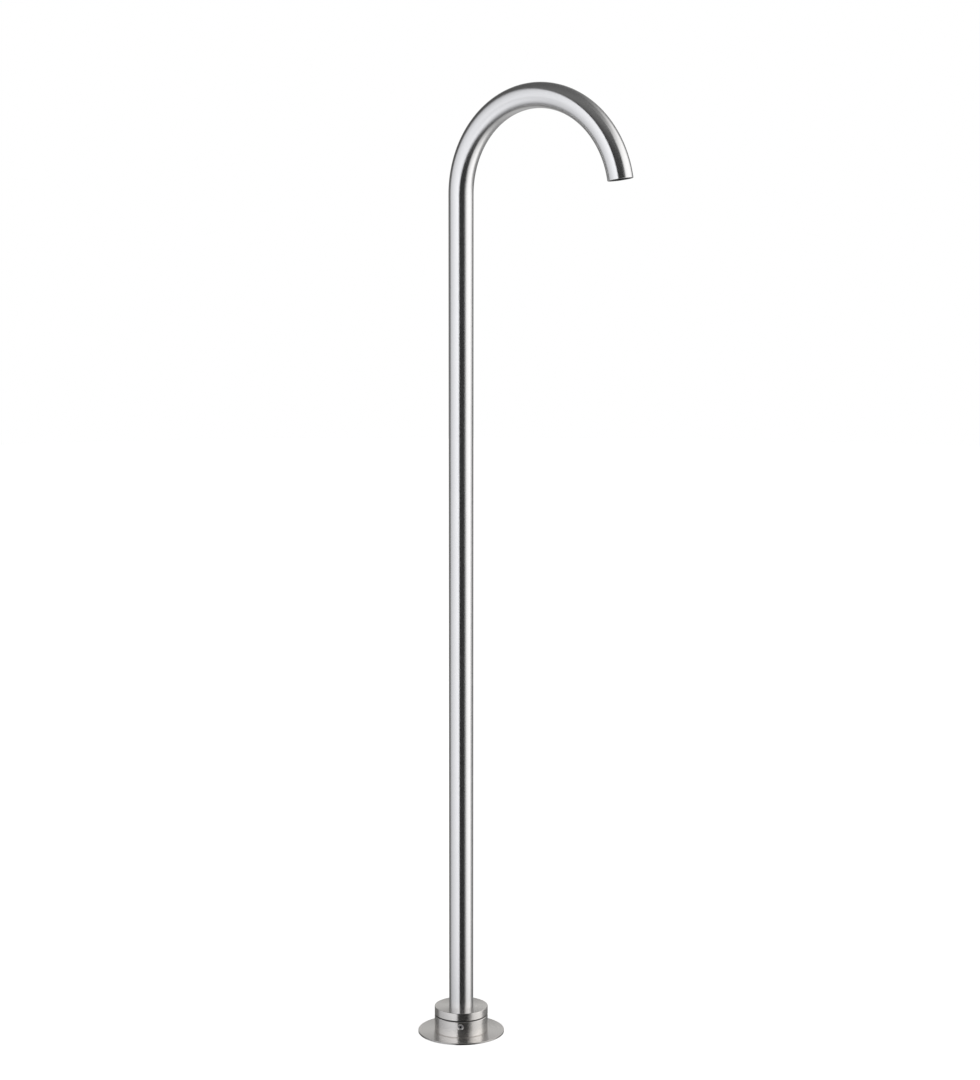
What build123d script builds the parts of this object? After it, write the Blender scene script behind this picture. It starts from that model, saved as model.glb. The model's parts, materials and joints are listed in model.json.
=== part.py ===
from build123d import *
from math import cos, hypot, radians, sin, sqrt
import os

# Floor-standing basin spout, in millimetres and degrees.
# +Z is up. The origin lies on the riser's axis at floor level.
# At rest the spout reaches towards +X.

os.makedirs("parts", exist_ok=True)

# Spout tube: a riser bent into an arch
tube_diameter = 28.0
tube_wall = 1.5
riser_top = 968.0
arch_radius = 108.0
arch_sweep = 170.0
mouth_chamfer = 0.4

# Loose trim disc on the floor
disc_diameter = 100.0
disc_thickness = 2.0
disc_chamfer = 0.3
disc_play = 0.25

# Fixed base ring, a cup screwed to the floor
ring_diameter = 62.0
ring_height = 18.7
ring_wall = 4.0
ring_step = 2.0
ring_chamfer = 0.4
ring_foot_chamfer = 0.7
web_thickness = 7.0
anchor_circle = 42.0
anchor_hole = 5.5
anchor_count = 4

# Floor seal in a groove under the ring
seal_land = 1.3
seal_width = 2.3
seal_height = 1.5
seal_play = 0.1

# Inlet hub with a G1/2 thread, screwed down on a gasket
thread_bore = 18.6
thread_length = 9.0
relief_diameter = 21.2
relief_length = 2.0
shank_diameter = 25.9
shank_gap = 0.05
hex_across_flats = 28.0
hex_height = 3.0
neck_wall = 3.5
neck_height = 9.8
socket_floor = 1.0
gasket_thickness = 1.0
gasket_overhang = 1.5

# Strainer in the thread's relief
strainer_gap = 0.2
strainer_rim = 3.4
strainer_slot = 1.5
mesh_thickness = 0.5
mesh_gap = 0.05
mesh_hole = 1.0
mesh_pitch = 1.5

# Swivel bush between the ring and the collar
bush_wall = 0.8
bush_flange = 1.3
bush_inset = 1.2
bush_length = 11.0
bush_gap = 0.1
bush_window_gap = 0.5

# Collar, turning on the bush
collar_height = 8.9
collar_chamfer = 0.5
collar_lift = 0.1
skirt_wall = 3.0
skirt_length = 10.3

# Grub screw that holds the collar down
screw_diameter = 5.9
screw_gap = 0.05
screw_height = 13.0
screw_azimuth = -53.8
screw_recess = 0.6
screw_length = 5.5
screw_socket = 3.0
screw_socket_depth = 2.2
screw_chamfer = 0.4
sink_depth = 0.75
dog_diameter = 3.8
dog_length = 1.7
dog_gap = 0.3

# Spigot that plugs the tube's foot into the hub
spigot_bore = 15.0
spigot_wall = 2.43
spigot_gap = 0.07
spigot_clear = 0.3
plug_length = 19.5
plug_gap = 0.05
flange_thickness = 1.3
flange_clear = 0.4

# O-rings on the spigot
o_ring_width = 1.9
o_ring_play = 0.2
o_ring_groove = 1.33
o_ring_seat = 0.02
o_ring_running = 0.03
o_ring_edge = 2.3
o_ring_spacing = 3.6
o_ring_rounding = 0.5

# Sleeve bonded into the mouth, threaded inside for the aerator
sleeve_recess = 0.4
sleeve_length = 9.0
sleeve_gap = 0.15
sleeve_wall = 1.4
sleeve_ledge = 1.0
sleeve_ledge_width = 1.35

# Aerator cartridge
aerator_thread_gap = 0.05
aerator_recess = 1.0
housing_wall = 1.2
housing_lip = 0.8
housing_lip_width = 0.8
key_notch = 1.6
key_notch_count = 8
aerator_seal_thickness = 1.0
aerator_seal_width = 2.0
insert_gap = 0.1
grid_thickness = 1.5
grid_rim = 0.6
grid_cell = 2.2
grid_pitch = 2.5
diffuser_thickness = 2.0
diffuser_hole = 1.0
diffuser_pitch = 2.2
regulator_port = 1.6
regulator_port_count = 8
regulator_groove = 1.0
regulator_groove_width = 2.0
sieve_rise = 1.6
sieve_thickness = 0.5
sieve_gap = 0.1
sieve_hole = 0.8
sieve_pitch = 1.5
sieve_rim = 1.2

# Heights that follow from the sizes above
web_top = web_thickness
ring_foot = disc_thickness
ring_top = ring_foot + ring_height
bush_top = ring_top + bush_flange
collar_foot = bush_top + collar_lift
collar_top = collar_foot + collar_height
skirt_foot = collar_foot - skirt_length
hex_foot = web_top + gasket_thickness
hex_top = hex_foot + hex_height
socket_foot = hex_top + socket_floor
neck_top = hex_top + neck_height
spigot_foot = socket_foot + spigot_clear
flange_foot = neck_top + flange_clear
tube_foot = flange_foot + flange_thickness
plug_top = tube_foot + plug_length
screw_level = ring_foot + screw_height

# Radii that follow from the sizes above
tube_radius = tube_diameter / 2
tube_bore_radius = tube_radius - tube_wall
ring_radius = ring_diameter / 2
ring_bore_radius = ring_radius - ring_wall
step_radius = ring_radius - ring_step
seal_outer_radius = step_radius - seal_land - seal_play
seal_inner_radius = seal_outer_radius - seal_width
shank_radius = shank_diameter / 2
spigot_radius = spigot_bore / 2 + spigot_wall
socket_radius = spigot_radius + spigot_gap
neck_radius = socket_radius + neck_wall
bush_outer_radius = ring_bore_radius - bush_gap
bush_bore_radius = bush_outer_radius - bush_wall
bush_flange_radius = ring_radius - bush_inset
skirt_radius = bush_bore_radius - bush_gap
skirt_bore_radius = skirt_radius - skirt_wall

# Screw stations, measured out from the riser's axis
screw_head = ring_radius - screw_recess
dog_root = screw_head - screw_length + dog_length
dog_tip = screw_head - screw_length
catch_radius = dog_tip - dog_gap
catch_half_height = dog_diameter / 2 + dog_gap

# The mouth, at the arch's end. Depths are measured up the bore from there.
mouth_x = arch_radius * (1 - cos(radians(arch_sweep)))
mouth_z = riser_top + arch_radius * sin(radians(arch_sweep))
mouth = Plane(
    origin=(mouth_x, 0, mouth_z),
    x_dir=(0, 1, 0),
    z_dir=(-sin(radians(arch_sweep)), 0, -cos(radians(arch_sweep))),
)
sleeve_top = sleeve_recess + sleeve_length
ledge_foot = sleeve_top - sleeve_ledge
aerator_seal_foot = ledge_foot - aerator_seal_thickness
grid_foot = aerator_recess + housing_lip
grid_top = grid_foot + grid_thickness
diffuser_top = grid_top + diffuser_thickness

# A straight sleeve in a curved bore: its far rim is what touches first
sleeve_radius = sqrt((arch_radius + tube_bore_radius) ** 2 - sleeve_top**2) - arch_radius - sleeve_gap
sleeve_bore_radius = sleeve_radius - sleeve_wall
housing_radius = sleeve_bore_radius - aerator_thread_gap
housing_bore_radius = housing_radius - housing_wall
insert_radius = housing_bore_radius - insert_gap
aerator_seal_radius = sleeve_bore_radius - insert_gap
aerator_seal_bore = aerator_seal_radius - aerator_seal_width
sieve_radius = aerator_seal_bore - sieve_gap

# Radial plane through the screw: x runs outwards, y runs up
screw_plane = Plane(
    origin=(0, 0, screw_level),
    x_dir=(-sin(radians(screw_azimuth)), cos(radians(screw_azimuth)), 0),
    z_dir=(cos(radians(screw_azimuth)), sin(radians(screw_azimuth)), 0),
)


def hexagonal_places(pitch, limit):
    """Centres of a triangular grid that lie within a circle."""
    steps = int(limit / pitch) + 2
    places = []
    for row in range(-steps, steps + 1):
        for column in range(-2 * steps, 2 * steps + 1):
            x = pitch * (column + row / 2)
            y = pitch * row * sqrt(3) / 2
            if hypot(x, y) <= limit:
                places.append((x, y))
    return places


# Trim disc
with BuildPart() as floor_disc:
    with BuildSketch():
        Circle(disc_diameter / 2)
        Circle(step_radius + disc_play, mode=Mode.SUBTRACT)
    extrude(amount=disc_thickness)
    chamfer(floor_disc.edges().group_by(Axis.Z)[-1].sort_by(SortBy.LENGTH)[-1], disc_chamfer)
floor_disc.part.label = "floor_disc"
export_step(floor_disc.part, "parts/floor_disc.step")

# Base ring: cup with a web, seal groove, anchor holes and screw hole
with BuildPart() as base_ring:
    with BuildSketch():
        Circle(step_radius)
    extrude(amount=ring_foot)
    with BuildSketch(Plane.XY.offset(ring_foot)):
        Circle(ring_radius)
    extrude(amount=ring_height)
    chamfer(base_ring.edges().group_by(Axis.Z)[-1], ring_chamfer)
    foot_edges = base_ring.edges().filter_by(GeomType.CIRCLE).group_by(Axis.Z)[1]
    chamfer(foot_edges.sort_by(SortBy.LENGTH)[-1], ring_foot_chamfer)
    with BuildSketch(Plane.XY.offset(web_top)):
        Circle(ring_bore_radius)
    extrude(amount=ring_top - web_top, mode=Mode.SUBTRACT)
    with BuildSketch():
        Circle(shank_radius + shank_gap)
        with PolarLocations(anchor_circle / 2, anchor_count, start_angle=180 / anchor_count):
            Circle(anchor_hole / 2)
    extrude(amount=web_top, mode=Mode.SUBTRACT)
    with BuildSketch():
        Circle(seal_outer_radius + seal_play)
        Circle(seal_inner_radius - seal_play, mode=Mode.SUBTRACT)
    extrude(amount=seal_height + seal_play, mode=Mode.SUBTRACT)
    with BuildSketch(screw_plane.offset(ring_bore_radius - ring_wall / 2)):
        Circle(screw_diameter / 2 + screw_gap)
    extrude(amount=ring_wall * 2, mode=Mode.SUBTRACT)
    with BuildSketch(screw_plane.offset(ring_radius - sink_depth)):
        Circle(screw_diameter / 2 + screw_gap)
    extrude(amount=2 * sink_depth, taper=-45, mode=Mode.SUBTRACT)
base_ring.part.label = "base_ring"
export_step(base_ring.part, "parts/base_ring.step")

# Floor seal, flush with the underside
with BuildPart() as floor_seal:
    with BuildSketch():
        Circle(seal_outer_radius)
        Circle(seal_inner_radius, mode=Mode.SUBTRACT)
    extrude(amount=seal_height)
floor_seal.part.label = "floor_seal"
export_step(floor_seal.part, "parts/floor_seal.step")

# Inlet hub: shank, spanner hexagon and neck, bored for thread, strainer and spigot
with BuildPart() as inlet_hub:
    with BuildSketch():
        Circle(shank_radius)
    extrude(amount=hex_foot)
    with BuildSketch(Plane.XY.offset(hex_foot)):
        RegularPolygon(hex_across_flats / 2, 6, major_radius=False)
    extrude(amount=hex_height)
    with BuildSketch(Plane.XY.offset(hex_top)):
        Circle(neck_radius)
    extrude(amount=neck_height)
    with BuildSketch():
        Circle(thread_bore / 2)
    extrude(amount=thread_length, mode=Mode.SUBTRACT)
    with BuildSketch(Plane.XY.offset(thread_length)):
        Circle(relief_diameter / 2)
    extrude(amount=relief_length, mode=Mode.SUBTRACT)
    with BuildSketch(Plane.XY.offset(thread_length)):
        Circle(spigot_bore / 2)
    extrude(amount=neck_top - thread_length, mode=Mode.SUBTRACT)
    with BuildSketch(Plane.XY.offset(socket_foot)):
        Circle(socket_radius)
    extrude(amount=neck_top - socket_foot, mode=Mode.SUBTRACT)
inlet_hub.part.label = "inlet_hub"
export_step(inlet_hub.part, "parts/inlet_hub.step")

# Gasket under the hub's hexagon
with BuildPart() as hub_gasket:
    with BuildSketch(Plane.XY.offset(web_top)):
        Circle(hex_across_flats / 2 + gasket_overhang)
        Circle(shank_radius + shank_gap, mode=Mode.SUBTRACT)
    extrude(amount=gasket_thickness)
hub_gasket.part.label = "hub_gasket"
export_step(hub_gasket.part, "parts/hub_gasket.step")

# Rubber washer of the strainer, slotted inside for its mesh
strainer_radius = relief_diameter / 2 - strainer_gap
strainer_bore_radius = strainer_radius - strainer_rim
mesh_radius = strainer_bore_radius + strainer_slot - mesh_gap
mesh_foot = thread_length + (relief_length - mesh_thickness) / 2
with BuildPart() as strainer_washer:
    with BuildSketch(Plane.XY.offset(thread_length)):
        Circle(strainer_radius)
        Circle(strainer_bore_radius, mode=Mode.SUBTRACT)
    extrude(amount=relief_length)
    with BuildSketch(Plane.XY.offset(mesh_foot - mesh_gap)):
        Circle(mesh_radius + mesh_gap)
    extrude(amount=mesh_thickness + 2 * mesh_gap, mode=Mode.SUBTRACT)
strainer_washer.part.label = "strainer_washer"
export_step(strainer_washer.part, "parts/strainer_washer.step")

# Perforated disc of the strainer
with BuildPart() as strainer_mesh:
    with BuildSketch(Plane.XY.offset(mesh_foot)):
        Circle(mesh_radius)
        with Locations(*hexagonal_places(mesh_pitch, strainer_bore_radius - mesh_hole)):
            Circle(mesh_hole / 2, mode=Mode.SUBTRACT)
    extrude(amount=mesh_thickness)
strainer_mesh.part.label = "strainer_mesh"
export_step(strainer_mesh.part, "parts/strainer_mesh.step")

# Swivel bush: a thin sleeve with the flange that the collar turns on
with BuildPart() as swivel_bush:
    with BuildSketch(Plane.XY.offset(ring_top - bush_length)):
        Circle(bush_outer_radius)
    extrude(amount=bush_length)
    with BuildSketch(Plane.XY.offset(ring_top)):
        Circle(bush_flange_radius)
    extrude(amount=bush_flange)
    with BuildSketch(Plane.XY.offset(ring_top - bush_length)):
        Circle(bush_bore_radius)
    extrude(amount=bush_length + bush_flange, mode=Mode.SUBTRACT)
    with BuildSketch(screw_plane.offset(bush_bore_radius - bush_wall)):
        Circle(screw_diameter / 2 + bush_window_gap)
    extrude(amount=3 * bush_wall, mode=Mode.SUBTRACT)
swivel_bush.part.label = "swivel_bush"
export_step(swivel_bush.part, "parts/swivel_bush.step")

# Grub screw: hexagon socket outside, dog point inside the collar's groove
with BuildPart() as grub_screw:
    with BuildSketch(screw_plane.offset(dog_root)):
        Circle(screw_diameter / 2)
    extrude(amount=screw_head - dog_root)
    chamfer(grub_screw.edges().filter_by(GeomType.CIRCLE), screw_chamfer)
    with BuildSketch(screw_plane.offset(dog_tip)):
        Circle(dog_diameter / 2)
    extrude(amount=dog_length)
    with BuildSketch(screw_plane.offset(screw_head - screw_socket_depth)):
        RegularPolygon(screw_socket / 2, 6, major_radius=False)
    extrude(amount=screw_socket_depth, mode=Mode.SUBTRACT)
grub_screw.part.label = "grub_screw"
export_step(grub_screw.part, "parts/grub_screw.step")

# Spout tube: riser and arch in one bent piece
with BuildPart() as spout_tube:
    with BuildLine(Plane.XZ) as tube_route:
        Line((0, tube_foot), (0, riser_top))
        CenterArc((arch_radius, riser_top), arch_radius, 180, -arch_sweep)
    with BuildSketch(Plane.XY.offset(tube_foot)):
        Circle(tube_radius)
        Circle(tube_bore_radius, mode=Mode.SUBTRACT)
    sweep(path=tube_route.line)
    mouth_edges = spout_tube.edges().filter_by(GeomType.CIRCLE).filter_by_position(
        Axis.X, mouth_x - tube_diameter, mouth_x + tube_diameter
    )
    chamfer(mouth_edges.sort_by(SortBy.LENGTH)[-1], mouth_chamfer)
spout_tube.part.label = "spout_tube"
export_step(spout_tube.part, "parts/spout_tube.step")

# Collar: turned cap welded to the tube, with a skirt grooved for the dog point
with BuildPart() as collar:
    with BuildSketch(Plane.XY.offset(collar_foot)):
        Circle(ring_radius)
    extrude(amount=collar_height)
    chamfer(collar.edges().filter_by(GeomType.CIRCLE), collar_chamfer)
    with BuildSketch(Plane.XY.offset(skirt_foot)):
        Circle(skirt_radius)
        Circle(skirt_bore_radius, mode=Mode.SUBTRACT)
    extrude(amount=skirt_length)
    with BuildSketch(Plane.XY.offset(collar_foot)):
        Circle(tube_radius + plug_gap)
    extrude(amount=collar_height, mode=Mode.SUBTRACT)
    with BuildSketch(Plane.XY.offset(screw_level - catch_half_height)):
        Circle(skirt_radius)
        Circle(catch_radius, mode=Mode.SUBTRACT)
    extrude(amount=2 * catch_half_height, mode=Mode.SUBTRACT)
collar.part.label = "collar"
export_step(collar.part, "parts/collar.step")

# Spigot: plug inside the tube's foot, flange under it, grooved stem in the hub
o_ring_levels = {
    "o_ring_lower": spigot_foot + o_ring_edge,
    "o_ring_upper": spigot_foot + o_ring_edge + o_ring_spacing,
}
with BuildPart() as spigot:
    with BuildSketch(Plane.XY.offset(spigot_foot)):
        Circle(spigot_radius)
    extrude(amount=flange_foot - spigot_foot)
    with BuildSketch(Plane.XY.offset(flange_foot)):
        Circle(tube_radius)
    extrude(amount=flange_thickness)
    with BuildSketch(Plane.XY.offset(tube_foot)):
        Circle(tube_bore_radius - plug_gap)
    extrude(amount=plug_length)
    with BuildSketch(Plane.XY.offset(spigot_foot)):
        Circle(spigot_bore / 2)
    extrude(amount=plug_top - spigot_foot, mode=Mode.SUBTRACT)
    for level in o_ring_levels.values():
        with BuildSketch(Plane.XY.offset(level - o_ring_width / 2 - o_ring_play)):
            Circle(spigot_radius)
            Circle(spigot_radius - o_ring_groove, mode=Mode.SUBTRACT)
        extrude(amount=o_ring_width + 2 * o_ring_play, mode=Mode.SUBTRACT)
spigot.part.label = "spigot"
export_step(spigot.part, "parts/spigot.step")

# Two O-rings, squeezed between the spigot's grooves and the hub's socket
for name, level in o_ring_levels.items():
    with BuildPart() as o_ring:
        with BuildSketch(Plane.XY.offset(level - o_ring_width / 2)):
            Circle(socket_radius - o_ring_running)
            Circle(spigot_radius - o_ring_groove + o_ring_seat, mode=Mode.SUBTRACT)
        extrude(amount=o_ring_width)
        fillet(o_ring.edges().filter_by(GeomType.CIRCLE), o_ring_rounding)
    o_ring.part.label = name
    export_step(o_ring.part, "parts/" + name + ".step")

# Outlet sleeve: straight insert with a ledge for the aerator's seal
with BuildPart() as outlet_sleeve:
    with BuildSketch(mouth.offset(sleeve_recess)):
        Circle(sleeve_radius)
        Circle(sleeve_bore_radius, mode=Mode.SUBTRACT)
    extrude(amount=sleeve_length)
    with BuildSketch(mouth.offset(ledge_foot)):
        Circle(sleeve_bore_radius)
        Circle(sleeve_bore_radius - sleeve_ledge_width, mode=Mode.SUBTRACT)
    extrude(amount=sleeve_ledge)
outlet_sleeve.part.label = "outlet_sleeve"
export_step(outlet_sleeve.part, "parts/outlet_sleeve.step")

# Aerator seal, squeezed against the ledge
with BuildPart() as aerator_seal:
    with BuildSketch(mouth.offset(aerator_seal_foot)):
        Circle(aerator_seal_radius)
        Circle(aerator_seal_bore, mode=Mode.SUBTRACT)
    extrude(amount=aerator_seal_thickness)
aerator_seal.part.label = "aerator_seal"
export_step(aerator_seal.part, "parts/aerator_seal.step")

# Aerator housing: threaded cup with key notches in its lip
with BuildPart() as aerator_housing:
    with BuildSketch(mouth.offset(aerator_recess)):
        Circle(housing_radius)
        Circle(housing_bore_radius, mode=Mode.SUBTRACT)
    extrude(amount=aerator_seal_foot - aerator_recess)
    with BuildSketch(mouth.offset(aerator_recess)):
        Circle(housing_bore_radius)
        Circle(housing_bore_radius - housing_lip_width, mode=Mode.SUBTRACT)
    extrude(amount=housing_lip)
    with BuildSketch(mouth.offset(aerator_recess)):
        with PolarLocations(housing_bore_radius, key_notch_count):
            Rectangle(housing_wall, key_notch)
    extrude(amount=housing_lip, mode=Mode.SUBTRACT)
aerator_housing.part.label = "aerator_housing"
export_step(aerator_housing.part, "parts/aerator_housing.step")

# Honeycomb grid at the mouth
with BuildPart() as aerator_grid:
    with BuildSketch(mouth.offset(grid_foot)):
        Circle(insert_radius)
        with Locations(*hexagonal_places(grid_pitch, insert_radius - grid_rim - grid_cell / sqrt(3))):
            RegularPolygon(grid_cell / 2, 6, major_radius=False, rotation=30, mode=Mode.SUBTRACT)
    extrude(amount=grid_thickness)
aerator_grid.part.label = "aerator_grid"
export_step(aerator_grid.part, "parts/aerator_grid.step")

# Diffuser plate behind the grid
with BuildPart() as aerator_diffuser:
    with BuildSketch(mouth.offset(grid_top)):
        Circle(insert_radius)
        with Locations(*hexagonal_places(diffuser_pitch, insert_radius - grid_rim - diffuser_hole)):
            Circle(diffuser_hole / 2, mode=Mode.SUBTRACT)
    extrude(amount=diffuser_thickness)
aerator_diffuser.part.label = "aerator_diffuser"
export_step(aerator_diffuser.part, "parts/aerator_diffuser.step")

# Flow regulator: ported plate with a ring groove
regulator_ring = insert_radius / 2
with BuildPart() as aerator_regulator:
    with BuildSketch(mouth.offset(diffuser_top)):
        Circle(insert_radius)
        with PolarLocations(regulator_ring, regulator_port_count):
            Circle(regulator_port / 2, mode=Mode.SUBTRACT)
    extrude(amount=aerator_seal_foot - diffuser_top)
    with BuildSketch(mouth.offset(aerator_seal_foot - regulator_groove)):
        Circle(regulator_ring + regulator_groove_width / 2)
        Circle(regulator_ring - regulator_groove_width / 2, mode=Mode.SUBTRACT)
    extrude(amount=regulator_groove, mode=Mode.SUBTRACT)
aerator_regulator.part.label = "aerator_regulator"
export_step(aerator_regulator.part, "parts/aerator_regulator.step")

# Domed sieve on top of the cartridge, turned from its profile and drilled along the bore
dome_edge = sieve_radius - sieve_rim
dome_radius = (dome_edge**2 + sieve_rise**2) / (2 * sieve_rise)
sieve_plane = Plane(
    origin=mouth.offset(aerator_seal_foot).origin,
    x_dir=mouth.x_dir,
    z_dir=-mouth.y_dir,
)
with BuildPart() as aerator_sieve:
    with BuildSketch(sieve_plane):
        with BuildLine():
            RadiusArc((0, sieve_rise), (dome_edge, 0), dome_radius)
            Polyline(
                (dome_edge, 0),
                (sieve_radius, 0),
                (sieve_radius, sieve_thickness),
                (dome_edge, sieve_thickness),
            )
            RadiusArc((0, sieve_rise + sieve_thickness), (dome_edge, sieve_thickness), dome_radius)
            Line((0, sieve_rise), (0, sieve_rise + sieve_thickness))
        make_face()
    revolve(axis=Axis(sieve_plane.origin, mouth.z_dir))
    with BuildSketch(mouth.offset(aerator_seal_foot)):
        with Locations(*hexagonal_places(sieve_pitch, dome_edge - sieve_hole)):
            Circle(sieve_hole / 2)
    extrude(amount=sieve_rise + sieve_thickness, mode=Mode.SUBTRACT)
aerator_sieve.part.label = "aerator_sieve"
export_step(aerator_sieve.part, "parts/aerator_sieve.step")
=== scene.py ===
"""Looks of a floor-standing basin spout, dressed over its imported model."""

import json
import math
import typing

import bpy
from mathutils import Matrix, Vector


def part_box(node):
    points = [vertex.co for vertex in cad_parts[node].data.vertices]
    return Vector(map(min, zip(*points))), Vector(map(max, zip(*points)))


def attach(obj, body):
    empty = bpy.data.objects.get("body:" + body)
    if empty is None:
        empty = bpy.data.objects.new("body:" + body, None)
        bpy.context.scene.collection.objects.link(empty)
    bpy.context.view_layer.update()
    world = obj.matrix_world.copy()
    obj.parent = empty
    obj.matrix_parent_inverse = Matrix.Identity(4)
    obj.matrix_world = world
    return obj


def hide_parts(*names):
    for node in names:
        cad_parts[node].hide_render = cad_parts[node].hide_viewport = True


bl_info = {
    "name": "Floor-standing Basin Spout",
    "version": (1, 0, 0),
    "blender": (4, 5, 0),
    "location": "View3D > Sidebar > Spout",
    "description": "Makes a brushed steel basin spout's pieces, their finishes and a plain studio",
    "category": "Object",
}

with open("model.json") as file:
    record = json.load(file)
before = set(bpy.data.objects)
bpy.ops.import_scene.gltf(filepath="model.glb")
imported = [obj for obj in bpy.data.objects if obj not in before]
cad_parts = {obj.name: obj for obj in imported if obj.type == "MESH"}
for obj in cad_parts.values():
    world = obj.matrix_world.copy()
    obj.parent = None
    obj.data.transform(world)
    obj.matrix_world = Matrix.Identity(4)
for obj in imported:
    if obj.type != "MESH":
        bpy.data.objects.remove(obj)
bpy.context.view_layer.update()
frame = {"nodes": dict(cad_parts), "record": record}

MM = 0.001


def mount(name):
    """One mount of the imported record, by name."""
    for entry in frame["record"]["mounts"]:
        if entry["name"] == name:
            return entry
    raise KeyError(name)


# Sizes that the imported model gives, in metres and radians
disc_low, disc_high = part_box("floor_disc")
ring_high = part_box("base_ring")[1]
collar_low, collar_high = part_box("collar")
tube_low, tube_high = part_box("spout_tube")
outlet = mount("water_outlet")
ARCH_SWEEP = math.atan2(outlet["axis"][0], outlet["axis"][2])
ARCH_RADIUS = outlet["pos_m"][0] / (1 - math.cos(ARCH_SWEEP))
RISER_TOP = outlet["pos_m"][2] - ARCH_RADIUS * math.sin(ARCH_SWEEP)


class SpoutSizes(bpy.types.PropertyGroup):
    """Sizes of the pieces that are modelled here."""

    tube_radius: bpy.props.FloatProperty(
        name="Tube radius",
        description="Outside radius of the spout's tube",
        default=tube_high.y,
        unit="LENGTH",
    )
    tube_wall: bpy.props.FloatProperty(
        name="Tube wall",
        description="Wall of the spout's tube",
        default=1.5 * MM,
        unit="LENGTH",
    )
    riser_top: bpy.props.FloatProperty(
        name="Riser top",
        description="Height at which the arch begins",
        default=RISER_TOP,
        unit="LENGTH",
    )
    arch_radius: bpy.props.FloatProperty(
        name="Arch radius",
        description="Radius of the arch's middle line",
        default=ARCH_RADIUS,
        unit="LENGTH",
    )
    arch_sweep: bpy.props.FloatProperty(
        name="Arch sweep",
        description="Angle that the arch turns through",
        default=ARCH_SWEEP,
        subtype="ANGLE",
    )
    tube_clearance: bpy.props.FloatProperty(
        name="Tube clearance",
        description="Gap round the tube where the collar holds it",
        default=0.05 * MM,
        unit="LENGTH",
    )
    collar_depth: bpy.props.FloatProperty(
        name="Collar depth",
        description="Height of the collar's solid part, from its top down",
        default=8.9 * MM,
        unit="LENGTH",
    )
    skirt_inside: bpy.props.FloatProperty(
        name="Skirt inside",
        description="Inside radius of the collar's skirt",
        default=23.0 * MM,
        unit="LENGTH",
    )
    skirt_outside: bpy.props.FloatProperty(
        name="Skirt outside",
        description="Outside radius of the collar's skirt",
        default=26.0 * MM,
        unit="LENGTH",
    )
    groove_radius: bpy.props.FloatProperty(
        name="Groove radius",
        description="Radius at the bottom of the skirt's groove",
        default=24.6 * MM,
        unit="LENGTH",
    )
    groove_low: bpy.props.FloatProperty(
        name="Groove low",
        description="Height of the groove's lower side",
        default=12.8 * MM,
        unit="LENGTH",
    )
    groove_high: bpy.props.FloatProperty(
        name="Groove high",
        description="Height of the groove's upper side",
        default=17.2 * MM,
        unit="LENGTH",
    )
    disc_hole: bpy.props.FloatProperty(
        name="Disc hole",
        description="Radius of the hole in the floor disc",
        default=29.25 * MM,
        unit="LENGTH",
    )
    mouth_edge: bpy.props.FloatProperty(
        name="Mouth edge",
        description="Rounding of the tube's cut end",
        default=0.45 * MM,
        unit="LENGTH",
    )
    turned_edge: bpy.props.FloatProperty(
        name="Turned edge",
        description="Rounding of the collar's and the base ring's outer edges",
        default=0.45 * MM,
        unit="LENGTH",
    )
    disc_edge: bpy.props.FloatProperty(
        name="Disc edge",
        description="Rounding of the floor disc's upper edge",
        default=0.35 * MM,
        unit="LENGTH",
    )
    hidden_edge: bpy.props.FloatProperty(
        name="Hidden edge",
        description="Rounding of every other turned edge",
        default=0.12 * MM,
        unit="LENGTH",
    )
    turn_steps: bpy.props.IntProperty(
        name="Turn steps",
        description="Steps round a turned piece",
        default=160,
        min=24,
    )
    tube_steps: bpy.props.IntProperty(
        name="Tube steps",
        description="Steps round the tube",
        default=96,
        min=24,
    )
    arch_steps: bpy.props.IntProperty(
        name="Arch steps",
        description="Steps along the arch",
        default=120,
        min=24,
    )


class SpoutFinish(bpy.types.PropertyGroup):
    """Colours and roughness of the finishes."""

    steel_colour: bpy.props.FloatVectorProperty(
        name="Steel colour",
        description="Colour of the brushed steel",
        default=(0.83, 0.83, 0.835),
        subtype="COLOR",
        min=0,
        max=1,
    )
    turned_colour: bpy.props.FloatVectorProperty(
        name="Turned steel colour",
        description="Colour of the collar's, ring's and disc's steel, slightly warmer than the tube's",
        default=(0.848, 0.83, 0.81),
        subtype="COLOR",
        min=0,
        max=1,
    )
    tube_roughness: bpy.props.FloatProperty(
        name="Tube roughness",
        description="Roughness of the steel brushed round the tube",
        default=0.245,
        min=0,
        max=1,
    )
    face_roughness: bpy.props.FloatProperty(
        name="Face roughness",
        description="Roughness of the turned flat faces",
        default=0.26,
        min=0,
        max=1,
    )
    brass_colour: bpy.props.FloatVectorProperty(
        name="Brass colour",
        description="Colour of the turned brass",
        default=(0.76, 0.58, 0.30),
        subtype="COLOR",
        min=0,
        max=1,
    )
    rubber_colour: bpy.props.FloatVectorProperty(
        name="Rubber colour",
        description="Colour of the seals",
        default=(0.022, 0.022, 0.024),
        subtype="COLOR",
        min=0,
        max=1,
    )


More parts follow.
